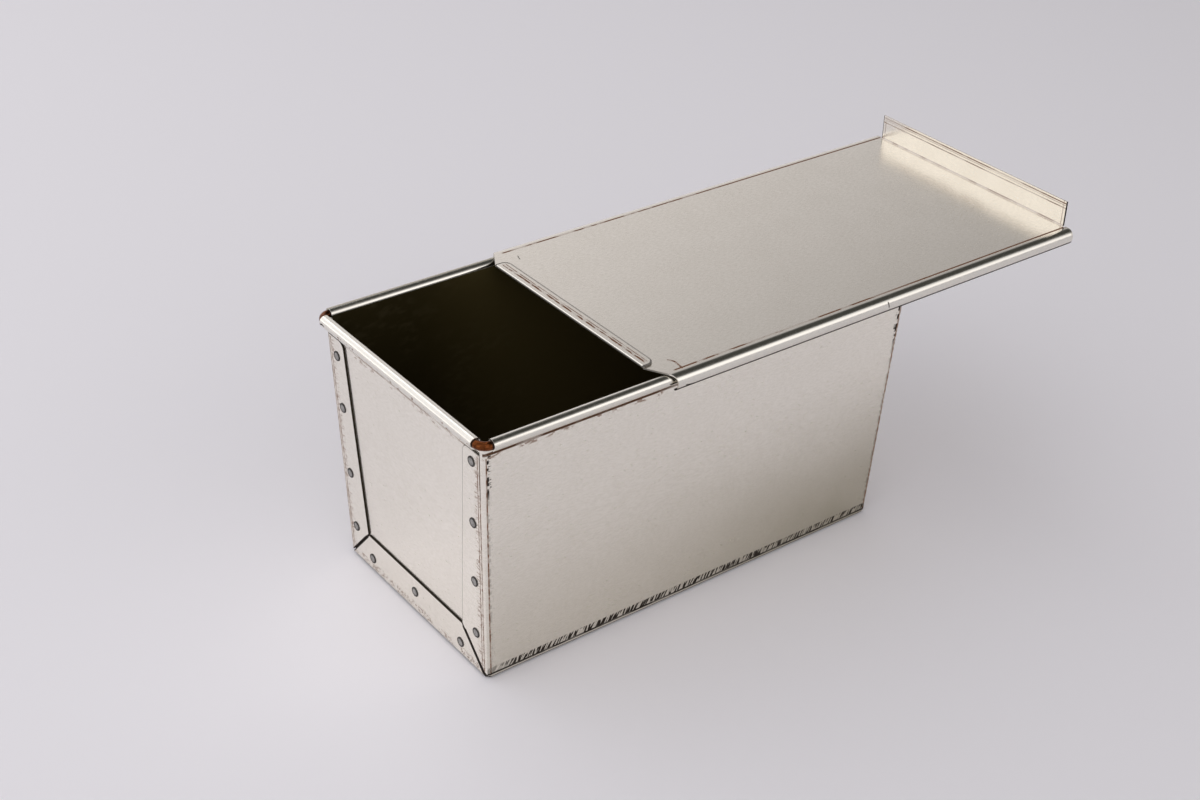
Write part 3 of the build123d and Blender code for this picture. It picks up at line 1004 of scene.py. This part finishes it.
def trough_finish():
    """Coated steel with the marks that the dies leave beside every bend, and painted shade at its edges,
    gaps and under its rolls.
    """
    size, finish = pan(), Finish("trough steel")
    x, y, z, spots = finish.x, finish.y, finish.z, finish.spots
    from_side, from_end = wall_fields(finish)
    sheet, rim, bend = size.sheet / MM, size.rim_height / MM, size.bend_radius / MM
    foot_z, head_z = size.floor_flange / MM, size.flange_top / MM
    skin = depth_in(bend, from_side, from_end, z)
    on_skin = skin.below(sheet / 2, 0.08)
    on_side = on_skin * from_end.above(bend * 0.3, 0.1)
    on_end = on_skin * from_end.below(sheet / 2, 0.1)
    at_back = y.above(0, 1)

    # Brown, where the coating has cracked beside a bend or a roll, or is scuffed; under the roll's lip it is
    # partly painted shade.
    bend_lines = (
        most(
            on_side * from_end.band(bend - 0.35, bend + 0.25, 0.12),
            on_end * from_side.band(bend - 0.4, bend + 0.15, 0.12),
            on_end * from_side.band(bend + 0.9, bend + 1.45, 0.12),
        )
        * z.band(bend, head_z - 1, 0.4)
        * spots(1.1, 0.5, 0.08, stretch=(1, 1, 2)).fade(0.6, 1.0)
    )
    far_edge = on_side * x.above(0, 1) * from_end.below(bend + 0.3, 0.3) * spots(1.3, 0.5, 0.04)
    far_edge = far_edge * z.below(rim - 3.6, 0.3)
    # Under the roll's lip: a line of painted shade, partly a brown stain.
    lip_shade_and_stain = on_side * z.band(rim - 5.6, rim - 4.3, 0.15)
    lip_shade_and_stain = lip_shade_and_stain * spots(5, 0.44, 0.06, stretch=(3, 1, 1)).fade(0.55, 1.0)
    lip_stain = on_side * z.band(rim - 7.0, rim - 5.2, 0.4)
    lip_stain = lip_stain * spots(1.3, 0.55, 0.04, stretch=(2, 1, 1)) * spots(14, 0.5, 0.05)
    flange_scuff = (
        on_end
        * from_side.band(bend, bend + 3.4, 1.0)
        * spots(0.8, 0.54, 0.05, stretch=(1, 3, 1), detail=3)
        * spots(12, 0.42, 0.08).fade(0.4, 1.0)
    )
    floor_scuff = (
        on_end
        * z.band(bend - 0.4, bend + 3.0, 0.9)
        * spots(1.0, 0.53, 0.05, stretch=(1, 1.6, 1), detail=3)
        * spots(9, 0.44, 0.08)
    )
    underside = z.below(0.1, 0.05)
    along = spots(0.7, 0.6, 0.04, stretch=(14, 1, 1), detail=3) * spots(22, 0.46, 0.1)
    across = spots(0.7, 0.62, 0.04, stretch=(1.5, 12, 1), detail=3, shift=9)
    across = across * spots(17, 0.5, 0.1, shift=4)
    rest_scuff = underside * most(along, across)
    stain = most(
        bend_lines, lip_shade_and_stain, far_edge * 0.8, lip_stain * 0.75,
        flange_scuff * 0.6, floor_scuff * 0.65, rest_scuff * 0.4,
    )

    # Dark marks of the dies, and painted shade along the bottom edge, the cut edges, the mitre gaps and
    # under the roll's lip.
    post_marks = (
        on_side
        * most(
            from_end.band(bend + 0.1, bend + 1.0, 0.15)
            * spots(1.0, 0.48, 0.06, stretch=(4, 1, 1.6), detail=0)
            * z.above(86, 3).fade(0.35, 1.0),
            from_end.band(bend + 0.6, bend + 1.9, 0.3)
            * spots(0.6, 0.63, 0.05, stretch=(3.5, 1, 0.9), detail=0, shift=3)
            * z.above(89, 2).fade(0.12, 1.0),
        )
        * spots(5, 0.4, 0.05, stretch=(1, 1, 1.5), detail=1).fade(0.3, 1.0)
        * z.below(head_z + 0.3, 0.3)
    )
    foot_strokes = (
        on_side
        * z.band(bend + 0.6, bend + 3.7, 0.3)
        * spots(0.85, 0.47, 0.05, stretch=(1, 6, 6), detail=0, place=finish.leaning(0.45))
        * spots(5, 0.34, 0.05, stretch=(1.2, 1, 1), detail=1).fade(0.45, 1.0)
        * x.above(-90, 6).fade(0.6, 1.0)
    )
    foot_line = on_side * z.band(bend + 0.1, bend + 1.0, 0.15)
    foot_line = foot_line * spots(3, 0.5, 0.06, stretch=(3, 1, 1)).fade(0.85, 1.0)
    # Painted contact shadow along the bottom edge of the walls.
    bottom_edge_shade = on_skin * z.below(1.15, 0.15) * least(from_side, from_end).below(bend + 0.7, 0.5)
    outline = flange_field(finish)
    # Painted shade along the flanges' cut edges and in the mitre gaps.
    mitre_gap_shade = at_back.ramp(0.35, outline).below(0.85, 0.1) * z.below(foot_z - 1.2, 0.3)
    cut_edge_shade = (
        most(outline.below(0.25, 0.1), mitre_gap_shade)
        * from_end.below(sheet + 0.15, 0.08)
        * most(from_side.above(bend - 0.3, 0.2), z.below(foot_z, 0.1))
        * z.below(head_z + 0.15, 0.08)
        * most(at_back.fade(0.75, 1.0), z.below(foot_z + 0.6, 0.3))
    )
    mark = most(post_marks, foot_strokes, foot_line, bottom_edge_shade * 0.85, lip_shade_and_stain * 0.55, cut_edge_shade)

    # Darker olive tone: low on the long walls and towards the far end, a tint underneath, and along the back
    # roll.
    low_wall_darkening = on_side * z.below(42, 42) * x.above(20, 85).fade(0.4, 1.0)
    low_wall_darkening = low_wall_darkening * finish.noise(18, detail=2, shift=12).fade(0.75, 1.0)
    heat_tint = underside * spots(30, 0.5, 0.2, detail=3, shift=2).fade(0.1, 0.7)
    back_roll = y.above(wire_y() / MM - 0.3, 0.4) * z.above(rim + 0.2, 0.6)
    film = most(low_wall_darkening, heat_tint, back_roll * 0.8)

    worked = z.above(rim - 2.8, 0.4)
    inside = skin.above(sheet / 2, 0.08) * z.below(rim + 0.4, 0.15)
    return finish.steel(stain, mark, worked, inside, film)


def plate_finish():
    """The end plates: clean outside, with painted shade in the gaps beside the flanges."""
    size, finish = pan(), Finish("end plate steel")
    x, y, z, spots = finish.x, finish.y, finish.z, finish.spots
    from_end = wall_fields(finish)[1]
    rim, foot_z = size.rim_height / MM, size.floor_flange / MM
    outline = flange_field(finish)
    # Painted shade in the gaps between the plate and the flanges.
    slit_shade = most(
        outline.above(-0.25, 0.1) * y.above(0, 1),
        outline.above(-0.3, 0.1) * 0.6,
        outline.above(-0.35, 0.1) * z.below(foot_z + 0.7, 0.3),
    )
    slit_shade = slit_shade * from_end.below(plate_inset() / MM + 0.2, 0.1)
    bends = [(54.6, 0), (53.8, -0.9), (51.9, -0.5), (50.2, 0.1), (49.1, -0.3)]
    scribble = finish.stroke(y, z, [(across, rim + rise) for across, rise in bends], 0.6)
    scribble = scribble * x.below(0, 1) * from_end.below(-2.0, 0.4)
    roll_ticks = z.band(rim - 1.4, rim + 0.4, 0.2) * spots(1.5, 0.62, 0.03) * spots(10, 0.53, 0.05)
    roll_ticks = roll_ticks * from_end.below(-1.0, 0.5)
    # Under the roll's lip: a line of painted shade, partly a brown stain.
    lip_shade_and_stain = z.band(rim - 6.9, rim - 6.2, 0.15)
    lip_shade_and_stain = lip_shade_and_stain * spots(6, 0.5, 0.06, stretch=(1, 3, 1)).fade(0.3, 1.0)
    foot_of_roll = z.band(rim - 8.6, rim - 6.6, 0.5) * spots(1.4, 0.6, 0.04, stretch=(1, 2, 1))
    stain = most(roll_ticks, foot_of_roll * 0.5, lip_shade_and_stain * 0.6)
    worked = z.above(rim - 2.8, 0.4)
    inside = from_end.above((plate_inset() - size.sheet / 2) / MM, 0.08) * z.below(rim + 0.4, 0.15)
    return finish.steel(stain, most(slit_shade, scribble), worked, inside, shift=31.0)


def lid_finish():
    """The lid: a cracked line by each roll, a scuffed hem, die lines on the finger flange, and painted shade
    at the hem and the near corners.
    """
    size, finish = lid(), Finish("lid steel")
    x, y, z, spots, stroke = finish.x, finish.y, finish.z, finish.spots, finish.stroke
    near, far, top, roll_y = (line / MM for line in lid_lines())
    wide, tongue = abs(y), size.tongue_width / 2 / MM
    on_top = z.band(top - 0.1, top + 0.05, 0.04)
    crease = roll_y - 1.4
    crease_line = (
        on_top
        * wide.band(crease - 0.5, crease + 0.4, 0.15)
        * x.above(near + 8.5, 0.8)
        * most(spots(4.0, 0.47, 0.05, stretch=(2.2, 1, 1)), x.above(near + 110, 30)).fade(0.35, 1.0)
    )

    on_hem = z.above(top + 0.07, 0.03) * x.below(near + size.hem / MM + 1, 0.5)
    hem_end = tongue - wide
    hem_depth = depth_in(size.hem_round / MM, near + size.hem / MM - x, hem_end)
    # Painted shadow along the raised hem's free edge.
    hem_edge_shade = on_hem * hem_depth.below(0.7, 0.15) * hem_end.below(2.4, 0.6).fade(0.7, 1.0)
    hem_scuff = (
        on_hem
        * most(x.band(near + 2.0, near + 2.9, 0.15), x.band(near + 3.3, near + 3.9, 0.15) * 0.8)
        * spots(1.5, 0.46, 0.05, stretch=(0.8, 3.4, 1), detail=3).fade(0.25, 1.0)
        * hem_end.above(2.0, 0.8)
    )

    tip = top + size.finger_height / MM
    on_finger = x.above(far - 2.4, 0.2) * z.above(top + 0.2, 0.1)
    die_lines = (
        on_finger
        * most(
            z.band(tip - 1.3, tip - 0.75, 0.1),
            z.band(tip - 2.1, tip - 1.7, 0.1) * 0.6,
            z.band(tip - 3.4, tip - 2.9, 0.1) * 0.9,
            wide.band(53.5, 53.9, 0.1) * 0.7,
        )
        * spots(5, 0.5, 0.08, stretch=(1, 3, 1)).fade(0.5, 1.0)
    )
    finger_foot = x.above(far - 1.8, 0.15) * z.band(top + 0.1, top + 0.6, 0.15)
    finger_foot = finger_foot * spots(3, 0.5, 0.1, stretch=(1, 2.5, 1)).fade(0.6, 1.0)
    finger_ends = on_finger * wide.above(size.finger_width / 2 / MM - 0.3, 0.1)

    # Single scratches, where each begins, bends and ends.
    scratch = stroke(x, y, [(-16.2, -49.0), (-15.0, -51.1), (-15.1, -53.6), (-15.5, -56.4)], 0.9)
    scratch = on_top * scratch * spots(1.2, 0.46, 0.08).fade(0.5, 1.0)
    tick = on_top * stroke(x, y, [(-15.0, 50.7), (-16.0, 47.9)], 0.5)
    on_front_roll = y.below(-roll_y, 1)
    roll_tick = stroke(x, z, [(85.9, top - 1.8), (86.4, top - 3.9)], 0.5) * on_front_roll
    roll_dash = stroke(x, z, [(-16.4, top - 4.9), (-13.7, top - 5.5)], 0.6) * on_front_roll

    # Painted shade in the roll's foot, under the hem's fold and along the cut edges of the near corners.
    roll_foot = wide.above(roll_y + 0.5, 0.2) * z.below(top - 5.2, 0.2)
    nose_shade = x.below(near + 0.12, 0.05) * wide.below(tongue + 0.5, 0.1)
    reach, length_back = roll_y + size.roll_radius / MM, size.tongue_length / MM
    square = Vector((tongue - reach, length_back)).normalized()
    corner = wide.ramp(square.y, -near * square.x - tongue * square.y)
    corner_edge = x.ramp(square.x, corner).above(-0.12, 0.06)
    corner_edge = corner_edge * x.below(near + 12, 1) * wide.below(roll_y, 0.5)
    slant, drop = size.roll_slant / MM, (2 * size.roll_radius + size.roll_drop - size.sheet) / MM
    lean = Vector((drop, slant)).normalized()
    start = lean.x * (near + length_back - slant) + lean.y * (top - size.sheet / MM)
    roll_end = z.ramp(lean.y, x.ramp(lean.x, -start)).below(0.3, 0.08)
    roll_end = roll_end * wide.above(roll_y + 0.3, 0.3)

    stain = most(crease_line, hem_scuff, die_lines * 0.9, finger_foot * 0.7, scratch)
    mark = most(
        hem_edge_shade * 0.85, tick * 0.75, roll_tick, roll_dash, finger_ends,
        corner_edge * 0.7, roll_end * 0.85, roll_foot, nose_shade * 0.8,
    )
    worked = most(wide.above(roll_y + 0.2, 0.4), x.below(near + 0.8, 0.2))
    return finish.steel(stain, mark, worked, grain=(3.5, 1, 1), shift=57.0)


def darker(tone, much):
    return [part * much for part in tone]


def wire_finish():
    """Copper-coloured wire, with painted shade where it goes into the rolls."""
    looks, finish = bpy.context.scene.loaf_finishes, Finish("rim wire copper")
    # Painted shade on the wire next to the rolls' ends.
    ends = [(line - pan().corner_radius) / MM + 0.5 for line in (wire_x(), wire_y())]
    dark = most(*(abs(axis).below(end, 0.35) for axis, end in zip((finish.x, finish.y), ends)))
    tone = finish.noise(1.6, detail=3, rough=0.6)
    base = finish.blend(looks.wire, darker(looks.wire, 0.35), tone.above(0.5, 0.2))
    return finish.shade({
        "Base Color": finish.blend(base, looks.mark, dark),
        "Roughness": tone.ramp(0.16, 0.03),
        "Metallic": 1,
    })


def rivet_finish():
    """Dull grey heads, a little worn."""
    looks, finish = bpy.context.scene.loaf_finishes, Finish("rivet head")
    tone = finish.noise(1.1, detail=3, rough=0.6)
    base = finish.blend(looks.rivet, darker(looks.rivet, 0.55), tone.above(0.52, 0.2))
    return finish.shade({"Base Color": base, "Roughness": tone.ramp(0.3, 0.3), "Metallic": 0.9})


def rivet_rim_finish():
    """The dark ring round a head."""
    looks, finish = bpy.context.scene.loaf_finishes, Finish("rivet rim")
    tone = finish.noise(0.8, detail=2).above(0.5, 0.2)
    base = finish.blend(looks.mark, darker(looks.rivet, 0.15), tone)
    return finish.shade({"Base Color": base, "Roughness": 0.55, "Metallic": 0.4})


def floor_finish(tone):
    """Plain pale paper."""
    return Finish("floor paper").shade(
        {"Base Color": (*tone, 1), "Roughness": 0.85, "Specular IOR Level": 0.1}
    )


# The stage's fixed measures, in metres; a lamp's target is what it faces.
FLOOR_SIZE = 3.2
KEY_TARGET, KEY_SIZE = (-0.2, -0.15, 0.05), (3.8, 3.2)
CARD_TARGET, CARD_SIZE, WHITE = (0, -0.05, 0.11), (0.6, 0.62), (1, 1, 1)
SENSOR_WIDTH = 36  # millimetres, like the focal length
CLIP_START, CLIP_END = 0.01, 50


class LOAFPAN_OT_stage(Operator):
    """Set the floor, the lamps and the camera"""

    bl_idname = "loafpan.stage"
    bl_label = "Stage"

    def execute(self, context):
        settings = context.scene.loaf_stage
        select()
        bpy.ops.mesh.primitive_plane_add(size=FLOOR_SIZE, location=(0, 0, 0))
        floor = context.object
        floor.name = "floor"
        coat(floor, floor_finish(settings.floor))
        floor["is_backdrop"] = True
        self.lamp("key", settings.key_place, KEY_TARGET, KEY_SIZE, settings.key, settings.key_tone)
        self.lamp("card", settings.card_place, CARD_TARGET, CARD_SIZE, settings.card, WHITE)
        self.room(settings)
        self.camera(settings)
        context.scene.view_settings.view_transform = "Standard"
        return {"FINISHED"}

    def lamp(self, name, place, target, size, power, tone):
        """A soft box that faces the pan."""
        data = bpy.data.lights.new(name, "AREA")
        data.color = tone
        data.shape, data.size, data.size_y, data.energy = "RECTANGLE", *size, power
        lamp = bpy.data.objects.new(name, data)
        lamp.location = place
        lamp.rotation_euler = (Vector(target) - Vector(place)).to_track_quat("-Z", "Y").to_euler()
        lamp.visible_camera = False
        bpy.context.scene.collection.objects.link(lamp)

    def room(self, settings):
        """Soft light all round, bright over the camera, dark at the ceiling; pale to the camera."""
        world = bpy.data.worlds.new("room")
        bpy.context.scene.world = world
        world.use_nodes = True
        nodes, own = Nodes(world.node_tree), world.node_tree.nodes
        looked = nodes.add("ShaderNodeTexCoord", {}, "Generated")
        sky = settings.room
        for tone, middle, core, reach in (
            (settings.front, settings.front_way, settings.front_core, settings.front_reach),
            (settings.ceiling, settings.dark_way, settings.dark_core, settings.dark_reach),
            (settings.ceiling, settings.key_place, settings.key_core, settings.key_reach),
        ):
            values = {0: looked, 1: Vector(middle).normalized()}
            toward = nodes.add("ShaderNodeVectorMath", values, "Value", operation="DOT_PRODUCT")
            sky = nodes.blend(sky, tone, toward.rise(cos(reach), cos(core)))
        nodes.feed(own["Background"], {"Color": sky})
        light = Field(nodes, own["Background"].outputs[0])
        seen = nodes.add("ShaderNodeBackground", {"Color": (*settings.backdrop, 1)})
        to_camera = nodes.add("ShaderNodeLightPath", {}, "Is Camera Ray")
        shown = nodes.add("ShaderNodeMixShader", {0: to_camera, 1: light, 2: seen})
        nodes.feed(own["World Output"], {"Surface": shown})

    def camera(self, settings):
        """The camera at the photograph's place."""
        data = bpy.data.cameras.new("camera")
        data.sensor_fit, data.sensor_width, data.lens = "HORIZONTAL", SENSOR_WIDTH, settings.focal_length
        data.clip_start, data.clip_end = CLIP_START, CLIP_END
        camera = bpy.data.objects.new("camera", data)
        heading, tilt = settings.azimuth, settings.tilt
        ahead = Vector((sin(heading) * cos(tilt), cos(heading) * cos(tilt), -sin(tilt)))
        level = ahead.cross(UP).normalized()
        right = level * cos(settings.roll) + level.cross(ahead) * sin(settings.roll)
        turn = Matrix((right, right.cross(ahead), -ahead)).transposed().to_4x4()
        camera.matrix_world = Matrix.Translation(settings.eye) @ turn
        bpy.context.scene.collection.objects.link(camera)
        bpy.context.scene.camera = camera


PIECES = (
    LOAFPAN_OT_trough,
    LOAFPAN_OT_end_plates,
    LOAFPAN_OT_rim_wire,
    LOAFPAN_OT_rivets,
    LOAFPAN_OT_lid,
    LOAFPAN_OT_stage,
)


class LOAFPAN_PT_panel(Panel):
    """The pan's pieces, in the order in which they are made"""

    bl_idname = "LOAFPAN_PT_panel"
    bl_label = "Loaf pan"
    bl_space_type = "VIEW_3D"
    bl_region_type = "UI"
    bl_category = "Loaf pan"

    def draw(self, context):
        for piece in PIECES:
            self.layout.operator(piece.bl_idname)


GROUPS = {
    "loaf_pan": PanSizes,
    "loaf_lid": LidSizes,
    "loaf_fasteners": FastenerSizes,
    "loaf_finishes": Finishes,
    "loaf_stage": StageSettings,
}
CLASSES = (*GROUPS.values(), *PIECES, LOAFPAN_PT_panel)


def register():
    for cls in CLASSES:
        bpy.utils.register_class(cls)
    for name, group in GROUPS.items():
        setattr(bpy.types.Scene, name, PointerProperty(type=group))


def unregister():
    for name in GROUPS:
        delattr(bpy.types.Scene, name)
    for cls in reversed(CLASSES):
        bpy.utils.unregister_class(cls)


def main():
    """Make every piece and the stage."""
    register()
    bpy.ops.loafpan.trough()
    bpy.ops.loafpan.end_plates()
    bpy.ops.loafpan.rim_wire()
    bpy.ops.loafpan.rivets()
    bpy.ops.loafpan.lid()
    bpy.ops.loafpan.stage()
    sizes = {"cad": cad_box, "visual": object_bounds()}
    {name: [list(corner) for corner in box] for name, box in sizes.items()}


if __name__ == "__main__":
    main()
